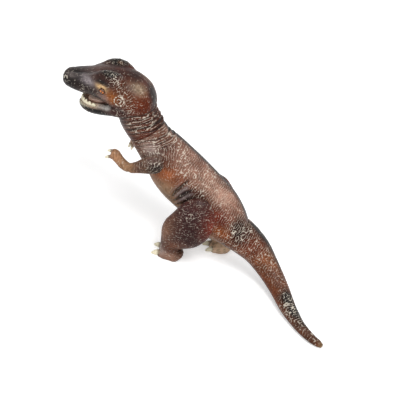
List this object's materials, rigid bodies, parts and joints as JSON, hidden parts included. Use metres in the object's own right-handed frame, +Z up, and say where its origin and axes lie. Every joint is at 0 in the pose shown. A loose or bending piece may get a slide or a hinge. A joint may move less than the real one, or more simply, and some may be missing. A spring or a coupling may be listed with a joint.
{
  "type": "toy dinosaur figure",
  "caption": "Soft vinyl toy of a two-legged meat-eating dinosaur in mid stride, with turning head, arms, legs and tail.",
  "frame": {"origin": "centre of the bottom of the whole figure's bounding box, on the floor", "axes": "+Z up, -Y the way the figure faces, +X to its own left"},
  "size_m": [0.1224, 0.3608, 0.1841],
  "materials": {
    "painted_vinyl": "soft cast vinyl, sprayed mahogany brown to black with tan flanks, cream dry-brushed wrinkles, satin",
    "glossy_eye": "glossy painted eye, orange with a black pupil",
    "mouth_vinyl": "satin pink vinyl",
    "cream_vinyl": "satin cream vinyl with brown wash at the roots"
  },
  "bodies": {
    "torso": {"torso_shell": "painted_vinyl"},
    "head": {"head_shell": "painted_vinyl", "left_eye": "glossy_eye", "right_eye": "glossy_eye", "tongue": "mouth_vinyl", "lower_teeth": "cream_vinyl"},
    "tail": {"tail_shell": "painted_vinyl"},
    "leg_left": {"left_leg": "painted_vinyl", "left_inner_toe_claw": "cream_vinyl", "left_middle_toe_claw": "cream_vinyl", "left_outer_toe_claw": "cream_vinyl"},
    "leg_right": {"right_leg": "painted_vinyl", "right_inner_toe_claw": "cream_vinyl", "right_middle_toe_claw": "cream_vinyl", "right_outer_toe_claw": "cream_vinyl"},
    "arm_left": {"left_arm": "painted_vinyl", "left_upper_finger_claw": "cream_vinyl", "left_lower_finger_claw": "cream_vinyl"},
    "arm_right": {"right_arm": "painted_vinyl", "right_upper_finger_claw": "cream_vinyl", "right_lower_finger_claw": "cream_vinyl"}
  },
  "joints": [
    {"name": "neck_swivel", "type": "hinge", "parent": "torso", "child": "head", "pos_m": [-0.01759, -0.07875, 0.126], "axis": [0, -0.7314, 0.682], "range_deg": [-60, 60]},
    {"name": "tail_swivel", "type": "hinge", "parent": "torso", "child": "tail", "pos_m": [-0.01759, 0.04725, 0.047], "axis": [0, 0.8387, -0.5446], "range_deg": [-30, 30]},
    {"name": "left_hip_swivel", "type": "hinge", "parent": "torso", "child": "leg_left", "pos_m": [0.00591, 0.00325, 0.068], "axis": [1, 0, 0], "range_deg": [-25, 20]},
    {"name": "right_hip_swivel", "type": "hinge", "parent": "torso", "child": "leg_right", "pos_m": [-0.04109, 0.00325, 0.068], "axis": [1, 0, 0], "range_deg": [-25, 12]},
    {"name": "left_shoulder_swivel", "type": "hinge", "parent": "torso", "child": "arm_left", "pos_m": [0.00691, -0.05775, 0.107], "axis": [1, 0, 0], "range_deg": [-60, 60]},
    {"name": "right_shoulder_swivel", "type": "hinge", "parent": "torso", "child": "arm_right", "pos_m": [-0.04209, -0.05775, 0.107], "axis": [1, 0, 0], "range_deg": [-20, 60]}
  ]
}
